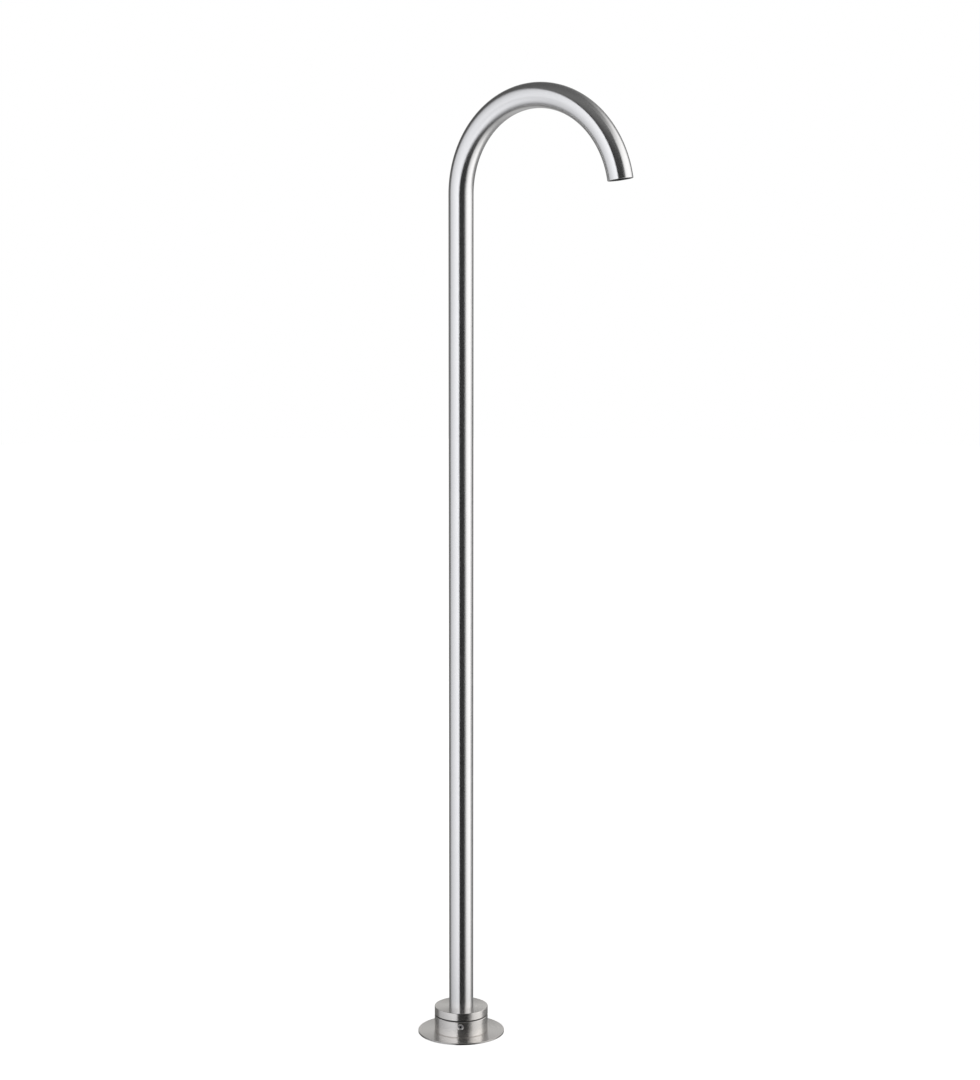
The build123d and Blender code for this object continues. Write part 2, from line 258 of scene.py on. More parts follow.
class SpoutStage(bpy.types.PropertyGroup):
    """The camera and the studio."""

    camera_azimuth: bpy.props.FloatProperty(
        name="Camera azimuth",
        description="Way the camera looks, turned from +Y",
        default=math.radians(37.293),
        subtype="ANGLE",
    )
    camera_distance: bpy.props.FloatProperty(
        name="Camera distance",
        description="Distance from the riser's axis, along the way the camera looks",
        default=2.94541,
        unit="LENGTH",
    )
    camera_offset: bpy.props.FloatProperty(
        name="Camera offset",
        description="Distance of the camera to the right of the riser's axis",
        default=32.75 * MM,
        unit="LENGTH",
    )
    camera_height: bpy.props.FloatProperty(
        name="Camera height",
        description="Height of the camera above the floor",
        default=1.03661,
        unit="LENGTH",
    )
    camera_pitch: bpy.props.FloatProperty(
        name="Camera pitch",
        description="Angle that the camera looks down",
        default=math.radians(8.822),
        subtype="ANGLE",
    )
    camera_roll: bpy.props.FloatProperty(
        name="Camera roll",
        description="Angle that the camera is turned about the way it looks",
        default=math.radians(-0.082),
        subtype="ANGLE",
    )
    focal_pixels: bpy.props.FloatProperty(
        name="Focal length in pixels",
        description="Focal length in pixels of the photograph's 980 by 1080 frame",
        default=2630.32,
    )
    floor_radius: bpy.props.FloatProperty(
        name="Floor radius",
        description="Radius of the pale floor",
        default=6.0,
        unit="LENGTH",
    )


# Mesh making


def corner_arc(before, corner, after, radius, steps):
    """Points and outward normals of one rounded corner, travelled with the solid on the left."""
    here = Vector(corner)
    arriving = (here - Vector(before)).normalized()
    leaving = (Vector(after) - here).normalized()
    turn = math.atan2(arriving.x * leaving.y - arriving.y * leaving.x, arriving.dot(leaving))
    reach = radius * math.tan(abs(turn) / 2)
    side = 1 if turn > 0 else -1
    centre = here - arriving * reach + Vector((-arriving.y, arriving.x)) * radius * side
    start = Vector((arriving.y, -arriving.x))
    rows = []
    for step in range(steps + 1):
        angle = turn * step / steps
        normal = Vector(
            (
                start.x * math.cos(angle) - start.y * math.sin(angle),
                start.x * math.sin(angle) + start.y * math.cos(angle),
            )
        )
        rows.append((centre + normal * radius * side, normal))
    return rows


def rounded_profile(corners, steps=4):
    """Closed profile from (radius, height, rounding) corners, as (point, normal, length along) rows."""
    rows = []
    count = len(corners)
    for index, (radius, height, rounding) in enumerate(corners):
        before = corners[index - 1][:2]
        after = corners[(index + 1) % count][:2]
        rows += corner_arc(before, (radius, height), after, rounding, steps)
    measured = []
    travelled = 0.0
    for index, (point, normal) in enumerate(rows):
        if index:
            travelled += (point - rows[index - 1][0]).length
        measured.append((point, normal, travelled))
    return measured


def straight_axis(height):
    """Place and directions of the upright axis at a height."""
    return Vector((0, 0, height)), Vector((1, 0, 0)), Vector((0, 1, 0)), Vector((0, 0, 1))


def spun_mesh(name, profile, steps, axis=straight_axis):
    """Closed mesh of a profile spun round an axis, straight or bent, with U running along the profile."""
    vertices = []
    normals = []
    grain = []
    for point, normal, travelled in profile:
        centre, outward, sideways, along = axis(point.y)
        for step in range(steps):
            angle = 2 * math.pi * step / steps
            radial = outward * math.cos(angle) + sideways * math.sin(angle)
            vertices.append(centre + radial * point.x)
            normals.append(radial * normal.x + along * normal.y)
            grain.append((point.x * math.cos(angle), point.x * math.sin(angle), travelled))
    faces = []
    corners = []
    length = profile[-1][2] + (profile[0][0] - profile[-1][0]).length
    rows = len(profile)
    for row in range(rows):
        upper = (row + 1) % rows
        low_u = profile[row][2]
        high_u = profile[upper][2] if upper else length
        for step in range(steps):
            beside = (step + 1) % steps
            faces.append(
                (row * steps + step, row * steps + beside, upper * steps + beside, upper * steps + step)
            )
            low_v = step / steps
            high_v = (step + 1) / steps
            corners += [(low_u, low_v), (low_u, high_v), (high_u, high_v), (high_u, low_v)]
    mesh = bpy.data.meshes.new(name)
    mesh.from_pydata(vertices, [], faces)
    mesh.shade_smooth()
    layer = mesh.uv_layers.new(name="along_and_round")
    layer.data.foreach_set("uv", [value for pair in corners for value in pair])
    attribute = mesh.attributes.new("grain", "FLOAT_VECTOR", "POINT")
    attribute.data.foreach_set("vector", [value for triple in grain for value in triple])
    mesh.normals_split_custom_set_from_vertices(normals)
    return mesh


def add_piece(name, mesh, material, body, node):
    """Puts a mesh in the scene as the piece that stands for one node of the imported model."""
    piece = bpy.data.objects.new(name, mesh)
    bpy.context.scene.collection.objects.link(piece)
    mesh.materials.append(material)
    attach(piece, body)
    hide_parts(node)
    return piece


# Finishes


class Grain(typing.NamedTuple):
    """A fine relief: stretch per millimetre, noise detail, height, strength and roughness either way."""

    stretch: tuple
    detail: float
    height: float
    strength: float
    roughness: float


class Cloud(typing.NamedTuple):
    """A slow change of colour: its stretch per millimetre, noise detail and darkest shade."""

    stretch: tuple
    detail: float
    shade: float


class Brushing(typing.NamedTuple):
    """One way of brushing steel: its grain, how one-sided it is, and its tint at glancing angles."""

    grain: Grain
    anisotropy: float
    edge_tint: tuple


class Change(typing.NamedTuple):
    """A painted shade that changes with distance from the axis: where it starts, where it is full, the
    shade there.
    """

    start: float
    full: float
    shade: float


# Grains and slow changes of the finishes
TUBE_GRAIN = Grain(stretch=(0.12, 0.12, 5.0), detail=3.0, height=0.004 * MM, strength=0.25, roughness=0.02)
FACE_GRAIN = Grain(stretch=(0.05, 0.05, 6.0), detail=3.0, height=0.004 * MM, strength=0.25, roughness=0.02)
LATHE_RINGS = Grain(stretch=(0.05, 0.05, 5.0), detail=2.0, height=0.01 * MM, strength=0.4, roughness=0.06)
SPARK_TEXTURE = Grain(stretch=(4.0, 4.0, 4.0), detail=2.0, height=0.01 * MM, strength=0.5, roughness=0.05)
RUBBER_SKIN = Grain(stretch=(2.5, 2.5, 2.5), detail=3.0, height=0.02 * MM, strength=0.5, roughness=0.125)
ROUND_THE_TUBE = Brushing(TUBE_GRAIN, anisotropy=0.95, edge_tint=(0.6, 0.6, 0.6, 1))
ROUND_THE_FACES = Brushing(FACE_GRAIN, anisotropy=0.85, edge_tint=(0.95, 0.95, 0.95, 1))
TARNISH = Cloud(stretch=(0.15, 0.15, 0.15), detail=4.0, shade=0.85)
PLASTIC_CLOUD = Cloud(stretch=(0.2, 0.2, 0.2), detail=3.0, shade=0.9)
RUBBER_BLOOM = Cloud(stretch=(0.3, 0.3, 0.3), detail=4.0, shade=0.6)
HANDLING_STRETCH = (0.02, 0.02, 0.02)
HANDLING_DETAIL = 2.0
HANDLING_ROUGHNESS = 0.012
GRAIN_SHADE = 0.955
QUARTER_TURN = 0.25
FLAT = (MM, MM, 0)
NOISE_LOW = 0.25
NOISE_HIGH = 0.75

# Colour and roughness of the carried pieces
SCREW_STEEL = ((0.84, 0.84, 0.85), 0.48)
STRAINER_STEEL = ((0.62, 0.62, 0.63), 0.35)
BLACK_PLASTIC = ((0.012, 0.012, 0.013), 0.42)
GREY_PLASTIC = ((0.20, 0.205, 0.21), 0.35)
WHITE_PLASTIC = ((0.74, 0.74, 0.71), 0.35)
BRASS_ROUGHNESS = 0.28
RUBBER_ROUGHNESS = 0.625

# Painted shade in the bore and along the disc's rim, both also rougher, and in the grub screw's socket
BORE_START = 0.3 * MM
BORE_END = 0.2 * MM
BORE_PAINTED_SHADE = 0.25
BORE_ROUGHNESS = 0.5
RIM_WIDTH = 0.2 * MM
RIM_PAINTED_SHADE = 0.8
RIM_ROUGHNESS = 0.3
SCREW_INSET = 0.6 * MM
SOCKET_START = 0.5 * MM
SOCKET_FULL = 1.0 * MM
SOCKET_PAINTED_SHADE = 0.1


def new_material(name):
    """A material, its node tree and its Principled shader."""
    material = bpy.data.materials.new(name)
    material.use_nodes = True
    tree = material.node_tree
    tree.nodes.clear()
    shader = tree.nodes.new("ShaderNodeBsdfPrincipled")
    output = tree.nodes.new("ShaderNodeOutputMaterial")
    tree.links.new(shader.outputs["BSDF"], output.inputs["Surface"])
    return material, tree, shader


def fill(tree, socket, value):
    """Links a socket to an input, or writes a number on it."""
    if isinstance(value, bpy.types.NodeSocket):
        tree.links.new(value, socket)
    else:
        socket.default_value = value


def maths(tree, operation, *values):
    """One step of arithmetic on numbers and sockets."""
    node = tree.nodes.new("ShaderNodeMath")
    node.operation = operation
    for socket, value in zip(node.inputs, values):
        fill(tree, socket, value)
    return node.outputs[0]


def product(tree, first, *others):
    """Several numbers and sockets multiplied together."""
    for other in others:
        first = maths(tree, "MULTIPLY", first, other)
    return first


def ramped(tree, value, start, end, low=0.0, high=1.0, soft=True):
    """Goes from low to high as a value goes from start to end, gently at both ends if soft."""
    node = tree.nodes.new("ShaderNodeMapRange")
    node.interpolation_type = "SMOOTHSTEP" if soft else "LINEAR"
    fill(tree, node.inputs["Value"], value)
    fill(tree, node.inputs["From Min"], start)
    fill(tree, node.inputs["From Max"], end)
    fill(tree, node.inputs["To Min"], low)
    fill(tree, node.inputs["To Max"], high)
    return node.outputs["Result"]


def stretched(tree, place, stretch):
    """Coordinates in metres, scaled by a stretch per millimetre."""
    mapping = tree.nodes.new("ShaderNodeMapping")
    mapping.inputs["Scale"].default_value = [value / MM for value in stretch]
    tree.links.new(place, mapping.inputs["Vector"])
    return mapping.outputs["Vector"]


def grain_place(tree, stretch):
    """The piece's own unrolled coordinates, stretched along the grain."""
    attribute = tree.nodes.new("ShaderNodeAttribute")
    attribute.attribute_name = "grain"
    return stretched(tree, attribute.outputs["Vector"], stretch)


def object_place(tree, stretch):
    """Object coordinates, stretched."""
    coordinates = tree.nodes.new("ShaderNodeTexCoord")
    return stretched(tree, coordinates.outputs["Object"], stretch)


def length_of(tree, place):
    """Length of a vector: the distance from the axis, where the vector is flat."""
    node = tree.nodes.new("ShaderNodeVectorMath")
    node.operation = "LENGTH"
    tree.links.new(place, node.inputs[0])
    return node.outputs["Value"]


def noise(tree, place, detail):
    """Noise in one channel, centred on a half."""
    texture = tree.nodes.new("ShaderNodeTexNoise")
    texture.inputs["Scale"].default_value = 1.0
    texture.inputs["Detail"].default_value = detail
    tree.links.new(place, texture.inputs["Vector"])
    return texture.outputs["Fac"]


def spread(tree, value, low, high):
    """Maps a noise from its usual spread to low and high."""
    return ramped(tree, value, NOISE_LOW, NOISE_HIGH, low, high, soft=False)


def roughened(tree, lines, roughness, grain):
    """A roughness that a grain's noise moves up and down."""
    return spread(tree, lines, roughness - grain.roughness, roughness + grain.roughness)


def tinted(tree, value, colour, darkest):
    """A colour, and a darker shade of it, mixed by a noise."""
    node = tree.nodes.new("ShaderNodeMix")
    node.data_type = "RGBA"
    node.inputs["A"].default_value = (*[channel * darkest for channel in colour], 1)
    node.inputs["B"].default_value = (*colour, 1)
    tree.links.new(spread(tree, value, 0.0, 1.0), node.inputs["Factor"])
    return node.outputs["Result"]


def clouded(tree, colour, cloud):
    """A colour with a slow change of shade over the object."""
    return tinted(tree, noise(tree, object_place(tree, cloud.stretch), cloud.detail), colour, cloud.shade)


def darkened(tree, colour, amount, shade):
    """A colour multiplied by a painted shade, as far as the amount says."""
    node = tree.nodes.new("ShaderNodeMix")
    node.data_type = "RGBA"
    node.blend_type = "MULTIPLY"
    node.inputs["B"].default_value = (shade, shade, shade, 1)
    tree.links.new(amount, node.inputs["Factor"])
    tree.links.new(colour, node.inputs["A"])
    return node.outputs["Result"]


def bumped(tree, shader, lines, grain):
    """Adds a grain's relief to a shader."""
    bump = tree.nodes.new("ShaderNodeBump")
    bump.inputs["Distance"].default_value = grain.height
    bump.inputs["Strength"].default_value = grain.strength
    tree.links.new(lines, bump.inputs["Height"])
    tree.links.new(bump.outputs["Normal"], shader.inputs["Normal"])


def brushed_steel(name, steel_colour, roughness, brushing, dull_and_painted_shade=None, dull_roughness=None):
    """Steel with a fine one-way grain that blurs reflections across itself, and rougher with a painted
    shade where told.
    """
    material, tree, shader = new_material(name)
    grain = brushing.grain
    shader.inputs["Metallic"].default_value = 1.0
    shader.inputs["Anisotropic"].default_value = brushing.anisotropy
    shader.inputs["Specular Tint"].default_value = brushing.edge_tint
    lines = noise(tree, grain_place(tree, grain.stretch), grain.detail)
    handling = noise(tree, grain_place(tree, HANDLING_STRETCH), HANDLING_DETAIL)
    colour = tinted(tree, lines, tuple(steel_colour), GRAIN_SHADE)
    handled = spread(tree, handling, -HANDLING_ROUGHNESS, HANDLING_ROUGHNESS)
    rough = maths(tree, "ADD", roughened(tree, lines, roughness, grain), handled)
    if dull_and_painted_shade:
        amount = ramped(tree, length_of(tree, grain_place(tree, FLAT)), dull_and_painted_shade.start, dull_and_painted_shade.full)
        # The colour darkened here is painted shade; the rise in roughness is real
        colour = darkened(tree, colour, amount, dull_and_painted_shade.shade)
        rough = maths(tree, "ADD", rough, product(tree, amount, dull_roughness - roughness))
    tree.links.new(colour, shader.inputs["Base Color"])
    tree.links.new(rough, shader.inputs["Roughness"])
    tangent = tree.nodes.new("ShaderNodeTangent")
    tangent.direction_type = "UV_MAP"
    tangent.uv_map = "along_and_round"
    tree.links.new(tangent.outputs["Tangent"], shader.inputs["Tangent"])
    bumped(tree, shader, lines, grain)
    return material


def ring_steel(name, steel_colour, roughness, brushing):
    """The same turned steel for the carried base ring, whose grain runs round its own axis."""
    material, tree, shader = new_material(name)
    grain = brushing.grain
    shader.inputs["Metallic"].default_value = 1.0
    shader.inputs["Anisotropic"].default_value = brushing.anisotropy
    shader.inputs["Anisotropic Rotation"].default_value = QUARTER_TURN
    shader.inputs["Specular Tint"].default_value = brushing.edge_tint
    lines = noise(tree, object_place(tree, grain.stretch), grain.detail)
    tree.links.new(tinted(tree, lines, tuple(steel_colour), GRAIN_SHADE), shader.inputs["Base Color"])
    tree.links.new(roughened(tree, lines, roughness, grain), shader.inputs["Roughness"])
    tangent = tree.nodes.new("ShaderNodeTangent")
    tangent.direction_type = "RADIAL"
    tangent.axis = "Z"
    tree.links.new(tangent.outputs["Tangent"], shader.inputs["Tangent"])
    bumped(tree, shader, lines, grain)
    return material


def plain_finish(name, colour, roughness, grain, cloud, metallic=0.0, painted_shade=None):
    """A finish with an even grain and a slow change of colour, darker with a painted shade where told."""
    material, tree, shader = new_material(name)
    shader.inputs["Metallic"].default_value = metallic
    lines = noise(tree, object_place(tree, grain.stretch), grain.detail)
    shaded = clouded(tree, colour, cloud)
    if painted_shade:
        amount = ramped(tree, length_of(tree, object_place(tree, FLAT)), painted_shade.start, painted_shade.full)
        # Painted shade: the colour is darkened here to stand for shade in a recess
        shaded = darkened(tree, shaded, amount, painted_shade.shade)
    tree.links.new(shaded, shader.inputs["Base Color"])
    tree.links.new(roughened(tree, lines, roughness, grain), shader.inputs["Roughness"])
    bumped(tree, shader, lines, grain)
    return material


def turned_metal(name, colour, roughness, painted_shade=None):
    """Metal with the fine rings that a lathe leaves, and a little tarnish."""
    return plain_finish(name, colour, roughness, LATHE_RINGS, TARNISH, 1.0, painted_shade)


def moulded_plastic(name, colour, roughness):
    """Moulded plastic with a fine spark-eroded texture."""
    return plain_finish(name, colour, roughness, SPARK_TEXTURE, PLASTIC_CLOUD)


def seal_rubber(name, colour):
    """Black rubber with a dusty bloom."""
    return plain_finish(name, colour, RUBBER_ROUGHNESS, RUBBER_SKIN, RUBBER_BLOOM)


# Operators


class SPOUT_OT_make_tube(bpy.types.Operator):
    """Make the bent tube: riser, arch, cut end and bore"""

    bl_idname = "spout.make_tube"
    bl_label = "Make Tube"

    def execute(self, context):
        sizes = context.scene.spout_sizes
        finish = context.scene.spout_finish
        foot = tube_low.z
        arch_length = sizes.arch_radius * sizes.arch_sweep
        mouth = sizes.riser_top + arch_length
        bore = sizes.tube_radius - sizes.tube_wall
        profile = rounded_profile(
            [
                (bore, foot, sizes.hidden_edge),
                (sizes.tube_radius, foot, sizes.hidden_edge),
                (sizes.tube_radius, mouth, sizes.mouth_edge),
                (bore, mouth, sizes.hidden_edge),
            ]
        )
        rows = []
        for index, row in enumerate(profile):
            rows.append(row)
            point, normal, travelled = row
            next_point = profile[(index + 1) % len(profile)][0]
            if abs(next_point.y - point.y) < arch_length:
                continue
            for step in range(sizes.arch_steps):
                share = step / sizes.arch_steps
                height = sizes.riser_top + arch_length * (share if next_point.y > point.y else 1 - share)
                if min(point.y, next_point.y) < height < max(point.y, next_point.y):
                    rows.append((Vector((point.x, height)), normal, travelled + abs(height - point.y)))

        def bent_axis(height):
            angle = (height - sizes.riser_top) / sizes.arch_radius
            if angle <= 0:
                return Vector((0, 0, height)), Vector((-1, 0, 0)), Vector((0, -1, 0)), Vector((0, 0, 1))
            centre = Vector(
                (
                    sizes.arch_radius * (1 - math.cos(angle)),
                    0,
                    sizes.riser_top + sizes.arch_radius * math.sin(angle),
                )
            )
            outward = Vector((-math.cos(angle), 0, math.sin(angle)))
            return centre, outward, Vector((0, -1, 0)), Vector((math.sin(angle), 0, math.cos(angle)))

        mesh = spun_mesh("bent_tube", rows, sizes.tube_steps, bent_axis)
        # Painted shade inside the bore: its steel is darkened towards the bore, and also made rougher
        dull_and_shaded_bore = Change(sizes.tube_radius - BORE_START, bore + BORE_END, BORE_PAINTED_SHADE)
        steel = brushed_steel(
            "steel_brushed_round_the_tube",
            finish.steel_colour,
            finish.tube_roughness,
            ROUND_THE_TUBE,
            dull_and_shaded_bore,
            BORE_ROUGHNESS,
        )
        add_piece("bent_tube", mesh, steel, "spout", "spout_tube")
        return {"FINISHED"}


class SPOUT_OT_make_collar(bpy.types.Operator):
    """Make the turned collar at the tube's foot"""

    bl_idname = "spout.make_collar"
    bl_label = "Make Collar"

    def execute(self, context):
        sizes = context.scene.spout_sizes
        finish = context.scene.spout_finish
        hidden = sizes.hidden_edge
        foot = collar_low.z
        web = collar_high.z - sizes.collar_depth
        hole = sizes.tube_radius + sizes.tube_clearance
        profile = rounded_profile(
            [
                (hole, web, hidden),
                (sizes.skirt_inside, web, hidden),
                (sizes.skirt_inside, foot, hidden),
                (sizes.skirt_outside, foot, hidden),
                (sizes.skirt_outside, sizes.groove_low, hidden),
                (sizes.groove_radius, sizes.groove_low, hidden),
                (sizes.groove_radius, sizes.groove_high, hidden),
                (sizes.skirt_outside, sizes.groove_high, hidden),
                (sizes.skirt_outside, web, hidden),
                (collar_high.x, web, sizes.turned_edge),
                (collar_high.x, collar_high.z, sizes.turned_edge),
                (hole, collar_high.z, hidden),
            ]
        )
        mesh = spun_mesh("turned_collar", profile, sizes.turn_steps)
        steel = brushed_steel(
            "steel_turned_collar", finish.turned_colour, finish.face_roughness, ROUND_THE_FACES
        )
        add_piece("turned_collar", mesh, steel, "spout", "collar")
        return {"FINISHED"}


class SPOUT_OT_make_floor_disc(bpy.types.Operator):
    """Make the loose trim disc on the floor"""

    bl_idname = "spout.make_floor_disc"
    bl_label = "Make Floor Disc"

    def execute(self, context):
        sizes = context.scene.spout_sizes
        finish = context.scene.spout_finish
        profile = rounded_profile(
            [
                (sizes.disc_hole, disc_low.z, sizes.hidden_edge),
                (disc_high.x, disc_low.z, sizes.hidden_edge),
                (disc_high.x, disc_high.z, sizes.disc_edge),
                (sizes.disc_hole, disc_high.z, sizes.hidden_edge),
            ]
        )
        mesh = spun_mesh("trim_disc", profile, sizes.turn_steps)
        # Painted shade along the disc's rim, standing for the dark contact line there, on a rougher cut
        # edge
        dull_and_shaded_rim = Change(disc_high.x - RIM_WIDTH, disc_high.x, RIM_PAINTED_SHADE)
        steel = brushed_steel(
            "steel_trim_disc",
            finish.turned_colour,
            finish.face_roughness,
            ROUND_THE_FACES,
            dull_and_shaded_rim,
            RIM_ROUGHNESS,
        )
        add_piece("trim_disc", mesh, steel, "base", "floor_disc")
        return {"FINISHED"}


class SPOUT_OT_finish_carried_pieces(bpy.types.Operator):
    """Give every carried-over piece its finish"""

    bl_idname = "spout.finish_carried_pieces"
    bl_label = "Finish Carried Pieces"

    def execute(self, context):
        finish = context.scene.spout_finish
        brass = turned_metal("turned_brass", tuple(finish.brass_colour), BRASS_ROUGHNESS)
        steel = ring_steel("steel_base_ring", finish.turned_colour, finish.face_roughness, ROUND_THE_FACES)
        screw_face = ring_high.x - SCREW_INSET
        # Painted shade in the grub screw's hex socket, darker deeper in
        socket = Change(screw_face - SOCKET_START, screw_face - SOCKET_FULL, SOCKET_PAINTED_SHADE)
        screw_steel = turned_metal("screw_steel", *SCREW_STEEL, painted_shade=socket)
        mesh_steel = turned_metal("strainer_steel", *STRAINER_STEEL)
        bush_plastic = moulded_plastic("black_bush_plastic", *BLACK_PLASTIC)
        grey_plastic = moulded_plastic("grey_aerator_plastic", *GREY_PLASTIC)
        white_plastic = moulded_plastic("white_aerator_plastic", *WHITE_PLASTIC)
        rubber = seal_rubber("seal_rubber", tuple(finish.rubber_colour))
        finishes = {
            "base_ring": steel,
            "inlet_hub": brass,
            "spigot": brass,
            "outlet_sleeve": bush_plastic,
            "grub_screw": screw_steel,
            "strainer_mesh": mesh_steel,
            "swivel_bush": bush_plastic,
            "aerator_housing": bush_plastic,
            "aerator_grid": grey_plastic,
            "aerator_diffuser": white_plastic,
            "aerator_regulator": white_plastic,
            "aerator_sieve": white_plastic,
            "floor_seal": rubber,
            "hub_gasket": rubber,
            "strainer_washer": rubber,
            "o_ring_lower": rubber,
            "o_ring_upper": rubber,
            "aerator_seal": rubber,
        }
        for node, material in finishes.items():
            frame["nodes"][node].material_slots[0].material = material
        return {"FINISHED"}


class SPOUT_OT_make_stage(bpy.types.Operator):
    """Make the camera, the floor and the studio round the spout"""

    bl_idname = "spout.make_stage"
    bl_label = "Make Stage"

    def execute(self, context):
        stage = context.scene.spout_stage
        make_camera(context, stage)
        make_floor(context, stage)
        make_studio(context, stage)
        context.scene.view_settings.view_transform = "Standard"
        return {"FINISHED"}


# The camera, its sensor in millimetres, and the floor
PHOTO_HEIGHT = 1080
SENSOR = 36.0
CLIP_NEAR = 0.05
CLIP_FAR = 60
FLOOR_STEPS = 96
FLOOR_DROP = 0.05 * MM
FLOOR_COLOUR = (0.85, 0.85, 0.85, 1)
FLOOR_GLOW = 0.80
FLOOR_SHADE_REACH = 0.055


def make_camera(context, stage):
    """The photograph's camera, found from the outline of the tube."""
    data = bpy.data.cameras.new("photo_camera")
    data.sensor_width = SENSOR
    data.lens = stage.focal_pixels * SENSOR / PHOTO_HEIGHT
    data.clip_start = CLIP_NEAR
    data.clip_end = CLIP_FAR
    camera = bpy.data.objects.new("photo_camera", data)
    context.scene.collection.objects.link(camera)
    turn = Matrix.Rotation(stage.camera_azimuth, 3, "Z")
    right = turn @ Vector((1, 0, 0))
    ahead = turn @ Vector((0, math.cos(stage.camera_pitch), -math.sin(stage.camera_pitch)))
    up = right.cross(ahead)
    rolled_right = right * math.cos(stage.camera_roll) - up * math.sin(stage.camera_roll)
    rolled_up = right * math.sin(stage.camera_roll) + up * math.cos(stage.camera_roll)
    place = turn @ Vector((stage.camera_offset, -stage.camera_distance, stage.camera_height))
    axes = Matrix((rolled_right, rolled_up, -ahead)).transposed()
    camera.matrix_world = Matrix.Translation(place) @ axes.to_4x4()
    context.scene.camera = camera


def make_floor(context, stage):
    """A round pale floor that shows as the white background, and keeps the spout's soft shadow."""
    mesh = bpy.data.meshes.new("pale_floor")
    points = []
    for step in range(FLOOR_STEPS):
        angle = 2 * math.pi * step / FLOOR_STEPS
        across = stage.floor_radius * math.cos(angle)
        deep = stage.floor_radius * math.sin(angle)
        points.append((across, deep, -FLOOR_DROP))
    mesh.from_pydata(points, [], [tuple(range(FLOOR_STEPS))])
    floor = bpy.data.objects.new("pale_floor", mesh)
    context.scene.collection.objects.link(floor)
    material = bpy.data.materials.new("pale_floor")
    material.use_nodes = True
    tree = material.node_tree
    tree.nodes.clear()
    diffuse = tree.nodes.new("ShaderNodeBsdfDiffuse")
    diffuse.inputs["Color"].default_value = FLOOR_COLOUR
    glow = tree.nodes.new("ShaderNodeEmission")
    glow.inputs["Strength"].default_value = FLOOR_GLOW
    both = tree.nodes.new("ShaderNodeAddShader")
    tree.links.new(diffuse.outputs[0], both.inputs[0])
    tree.links.new(glow.outputs[0], both.inputs[1])
    # What the steel mirrors of the floor is the studio, shaded close to the spout
    place = tree.nodes.new("ShaderNodeNewGeometry")
    flat = tree.nodes.new("ShaderNodeVectorMath")
    flat.operation = "MULTIPLY"
    flat.inputs[1].default_value = (1, 1, 0)
    tree.links.new(place.outputs["Position"], flat.inputs[0])
    distance = length_of(tree, flat.outputs[0])
    shade = maths(tree, "DIVIDE", distance, maths(tree, "ADD", distance, FLOOR_SHADE_REACH))
    clear = tree.nodes.new("ShaderNodeBsdfTransparent")
    tree.links.new(shade, clear.inputs["Color"])
    rays = tree.nodes.new("ShaderNodeLightPath")
    choose = tree.nodes.new("ShaderNodeMixShader")
    output = tree.nodes.new("ShaderNodeOutputMaterial")
    tree.links.new(rays.outputs["Is Glossy Ray"], choose.inputs["Fac"])
    tree.links.new(both.outputs[0], choose.inputs[1])
    tree.links.new(clear.outputs[0], choose.inputs[2])
    tree.links.new(choose.outputs[0], output.inputs["Surface"])
    mesh.materials.append(material)


# Spans in degrees: where something starts, where it is full and, if given, its value at each
LEFT_EDGE = (-6.0, 6.0, -15.4, -23.0)
LEFT_EDGE_LEAN = (17.0, 46.0, 0.0, -36.0)
LEFT_EDGE_BLUR = 1.0
LEFT_END = (-117.0, -107.0)
LEFT_TOP = (44.5, 39.5)
LEFT_DIM_BELOW = (-4.0, -16.0)
LEFT_DIM_ABOVE = (-32.0, -20.0)
LEFT_NEAR_STRENGTH = 1.30
LEFT_DIM_STRENGTH = 1.09
LEFT_FAR_STRENGTH = 0.66
LEFT_WIDTH = (-110.0, -27.0)
RIGHT_LEVEL_ABOVE = (-6.5, -2.0)
RIGHT_LEVEL_BELOW = (8.0, 0.0)
RIGHT_EDGE = 38.0
RIGHT_LEVEL_SHIFT = 16.0
RIGHT_LOW_SHIFT = (-20.0, -25.0, 0.0, 10.0)
RIGHT_EDGE_WIDTH = 20.0
RIGHT_END = (-14.0, 8.0, 103.0, 132.0)
RIGHT_END_SHIFT = (-20.0, -28.0, 0.0, 8.0)
RIGHT_END_BLUR = 11.0
RIGHT_TOP = (67.0, 31.0)
RIGHT_NEAR_STRENGTH = (-6.0, -16.0, 1.14, 0.96)
RIGHT_FAR_STRENGTH = 1.28
RIGHT_WIDTH = (50.0, 80.0)
FLOOR_FADE = (-40.0, -85.0, 1.0, 0.25)

# The pale sweep behind the spout, the dim sides, the dark front and the back's plain level
SWEEP_HEIGHT = (42.0, 2.0, 0.0, 0.64)
SWEEP_FOOT = (-6.0, 6.0, 0.58, 1.0)
SWEEP_WIDTH = (148.0, 174.0)
LEFT_SIDE_WIDTH = (-100.0, -116.0)
LEFT_SIDE_STRENGTH = (8.0, -8.0, 0.0, 0.14)
RIGHT_SIDE_WIDTH = (96.0, 120.0)
RIGHT_SIDE_STRENGTH = (45.0, 30.0, 0.0, 0.10)
RIGHT_SIDE_LOW_STRENGTH = (-12.0, -20.0, 0.0, 0.12)
FRONT_WIDTH = (70.0, 105.0)
FRONT_STRENGTH = (24.0, 58.0, 0.026, 0.175)
FRONT_LOW_STRENGTH = (-30.0, -70.0, 0.0, 0.09)
BACK_STRENGTH = 0.115

# Colours of the light, and a count of mirrorings between one and two
LEFT_TINT = (0.99, 0.995, 1.02)
RIGHT_TINT = (1.005, 0.995, 0.985)
BACK_TINT = (1.0, 0.995, 0.985)
ONE_MIRRORING = 1.5


